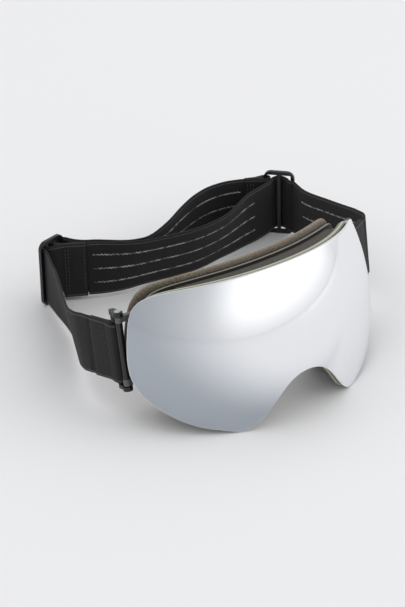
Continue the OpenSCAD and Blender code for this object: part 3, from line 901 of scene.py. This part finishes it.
def sewn_end(name, length, matrix, body, node):
    """Folded and sewn end of a strap, with its rows of stitches."""
    hole_r = BAR_R + LOOP_GAP
    hole_steps = 28
    outline = sewn_outline(length)
    hole = [(hole_r * math.cos(2 * math.pi * k / hole_steps),
             hole_r * math.sin(2 * math.pi * k / hole_steps)) for k in range(hole_steps)]
    levels = [0.0, 0.2, 0.55] + [STRAP_W * k / 16 for k in range(1, 16)]
    levels += [STRAP_W - 0.55, STRAP_W - 0.2, STRAP_W]
    pull = [0.35, 0.12] + [0.0] * (len(levels) - 4) + [0.12, 0.35]
    shape = bmesh.new()
    layer = shape.loops.layers.uv.new("webbing")
    walls = []
    for loop, sign in ((outline, -1), (hole, 1)):
        flat = np.array(loop)
        turn = np.roll(flat, -1, 0) - np.roll(flat, 1, 0)
        turn /= np.linalg.norm(turn, axis=1)[:, None]
        inward = np.stack([-turn[:, 1], turn[:, 0]], 1)
        rows = []
        for height, amount in zip(levels, pull):
            moved = flat + inward * amount * (-sign)
            rows.append([shape.verts.new((x, y, height)) for x, y in moved])
        run = np.concatenate([[0], np.cumsum(np.linalg.norm(np.diff(flat, axis=0), axis=1))])
        walls.append((rows, run))
    for rows, run in walls:
        count = len(rows[0])
        for i in range(len(rows) - 1):
            for j in range(count):
                k = (j + 1) % count
                face = shape.faces.new((rows[i][j], rows[i][k], rows[i + 1][k], rows[i + 1][j]))
                far = run[k] if k else run[j]
                spots = ((run[j], i), (far, i), (far, i + 1), (run[j], i + 1))
                for corner, (u, v) in zip(face.loops, spots):
                    corner[layer].uv = (u * MM, (levels[v] - STRAP_W / 2) * MM)
    for level in (0, -1):
        edges = []
        for rows, _ in walls:
            row = rows[level]
            edges += [shape.edges.get((row[j], row[(j + 1) % len(row)]))
                      for j in range(len(row))]
        bmesh.ops.triangle_fill(shape, use_beauty=True, edges=edges)
    bmesh.ops.recalc_face_normals(shape, faces=shape.faces)
    mesh = bpy.data.meshes.new(name)
    shape.to_mesh(mesh)
    shape.free()
    mesh.materials.append(MATERIALS["webbing"])
    place_mesh(mesh, matrix)
    mesh.shade_smooth()
    mesh.set_sharp_from_angle(angle=math.radians(50))
    made = bpy.data.objects.new(name, mesh)
    bpy.context.scene.collection.objects.link(made)
    stands_for(made, body, "webbing", node)
    threads = stitches(name + "_stitches", (8.6, 10.4, length - 1.6), matrix)
    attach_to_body(threads, body)


def place_mesh(mesh, matrix):
    """Moves a millimetre mesh through a matrix into row-frame metres."""
    mesh.transform(Matrix.Scale(MM, 4) @ matrix)
    if matrix.determinant() < 0:
        mesh.flip_normals()


def stitches(name, rows, matrix):
    """Rows of short thread stitches across both faces of a sewn end."""
    pitch, half_l, half_w = 2.5, 0.95, 0.24
    count = int((STRAP_W - 5) / pitch)
    shape = bmesh.new()
    for x in rows:
        for side in (-1, 1):
            for k in range(count):
                z = 2.5 + pitch * (k + 0.5)
                place = (Matrix.Translation((x, side * (STRAP_T + 0.02), z))
                         @ Matrix.Diagonal((half_w, 0.16, half_l, 1)))
                bmesh.ops.create_uvsphere(shape, u_segments=8, v_segments=6, radius=1.0,
                                          matrix=place)
    mesh = bpy.data.meshes.new(name)
    shape.to_mesh(mesh)
    shape.free()
    mesh.materials.append(MATERIALS["thread"])
    place_mesh(mesh, matrix)
    mesh.shade_smooth()
    made = bpy.data.objects.new(name, mesh)
    bpy.context.scene.collection.objects.link(made)
    return made


def slider_end_matrix(slider, bar_shift, direction):
    x, y, heading = slider
    turn = math.radians(heading)
    bar = (x + bar_shift * math.cos(turn), y + bar_shift * math.sin(turn), STRAP_Z - STRAP_W / 2)
    return (Matrix.Translation(CENTRING) @ Matrix.Translation(bar)
            @ Matrix.Rotation(math.radians(direction), 4, "Z"))


def loop_matrix(hinge, direction):
    bar = (PIN[0] + BAR_OFFSET[0], PIN[1] + BAR_OFFSET[1], STRAP_MID_H - STRAP_W / 2)
    return hinge @ Matrix.Translation(bar) @ Matrix.Rotation(math.radians(direction), 4, "Z")


def build_sewn_ends():
    sewn_end("loop_left_sewn", LOOP_LEN, loop_matrix(STANDING, LOOP_TURN_LEFT),
             "outrigger_left", "strap_loop_left")
    sewn_end("loop_right_sewn", LOOP_LEN, loop_matrix(right_hinge_matrix(), LOOP_TURN_RIGHT),
             "outrigger_right", "strap_loop_right")
    sewn_end("end_left_sewn", END_LEN_LEFT, slider_end_matrix(SLIDER_L, 0, END_TURN_LEFT),
             "slider_left", "strap_end_left")
    sewn_end("end_right_sewn", END_LEN_RIGHT,
             slider_end_matrix(SLIDER_R, -SLIDER_PITCH, END_TURN_RIGHT),
             "slider_right", "strap_end_right")


# ---- Hard parts ---------------------------------------------------------------------------

def build_hard_parts():
    for side in ("left", "right"):
        cad_piece(f"slider_{side}", "black_plastic", 0.7, 4)
        cad_piece(f"outrigger_{side}", "black_plastic", 0.35)
        cad_piece(f"pivot_mount_{side}", "boss_plastic", 0.4)
        cad_piece(f"hinge_pin_{side}", "steel", 0.25)
    for node in ("lens_magnets", "frame_magnets"):
        mesh = frame["nodes"][node].data
        mesh.materials.clear()
        mesh.materials.append(MATERIALS["magnet"])


# ---- Stage --------------------------------------------------------------------------------

def add_floor():
    floor_r = 3.5
    bpy.ops.mesh.primitive_circle_add(vertices=96, radius=floor_r, fill_type="NGON")
    floor = bpy.context.object
    floor.name = "floor"
    material, shader = principled("floor", (0.84, 0.84, 0.845), 0.9)
    noise = grain(material, 30.0, 2.0)
    add_bump(material, shader, noise, "Fac", 0.0001, 0.2)
    floor.data.materials.append(material)


def add_softbox(name, place, target, size, power):
    light = bpy.data.lights.new(name, "AREA")
    light.shape = "RECTANGLE"
    light.size, light.size_y = size
    light.energy = power
    made = bpy.data.objects.new(name, light)
    made.location = place
    made.rotation_euler = (Vector(target) - Vector(place)).to_track_quat("-Z", "Y").to_euler()
    made.visible_glossy = False
    bpy.context.scene.collection.objects.link(made)


def add_world():
    """Pale room with a broad glow to the front right, from the floor's edge upwards."""
    base, glow = 0.79, 0.62
    world = bpy.data.worlds.new("studio")
    world.use_nodes = True
    place = add_node(world, "ShaderNodeTexCoord")
    split = add_node(world, "ShaderNodeSeparateXYZ")
    link(world, place, "Generated", split, "Vector")
    height = ease_between(world, split, "Z", -0.12, 0.30)
    towards = add_node(world, "ShaderNodeVectorMath", operation="DOT_PRODUCT")
    towards.inputs[1].default_value = (0.5, -0.86, 0.1)
    link(world, place, "Generated", towards, 0)
    heading = ease_between(world, towards, "Value", 0.35, 0.95)
    both = add_node(world, "ShaderNodeMath", operation="MULTIPLY")
    link(world, height, "Result", both, 0)
    link(world, heading, "Result", both, 1)
    strength = add_node(world, "ShaderNodeMath", operation="MULTIPLY_ADD")
    strength.inputs[1].default_value = glow
    strength.inputs[2].default_value = base
    link(world, both, "Value", strength, 0)
    background = world.node_tree.nodes["Background"]
    background.inputs["Color"].default_value = (0.985, 0.99, 1.0, 1.0)
    link(world, strength, "Value", background, "Strength")
    bpy.context.scene.world = world


def add_lights():
    middle = (0.0, 0.0, 0.05)
    add_softbox("top_box", (0.1, 0.3, 1.9), middle, (2.2, 2.2), 6.0)
    add_softbox("right_box", (1.5, -1.3, 0.8), middle, (1.5, 1.5), 5.0)
    bpy.context.scene.view_settings.view_transform = "Standard"


def add_camera():
    """Camera at the front left, above the goggles."""
    data = bpy.data.cameras.new("camera")
    data.lens = 155.85
    data.sensor_width = 36.0
    camera = bpy.data.objects.new("camera", data)
    yaw, elevation, roll = (math.radians(a) for a in (-35.728, 30.839, -1.36))
    camera.matrix_world = (
        Matrix.Translation((-0.82564, -1.12197, 0.85315)) @ Matrix.Rotation(yaw, 4, "Z")
        @ Matrix.Rotation(math.pi / 2 - elevation, 4, "X") @ Matrix.Rotation(roll, 4, "Z"))
    bpy.context.scene.collection.objects.link(camera)
    bpy.context.scene.camera = camera


build_lens()
build_frame_shell()
build_vents()
build_face_foam()
build_straps()
build_sewn_ends()
build_hard_parts()
add_floor()
add_world()
add_lights()
add_camera()
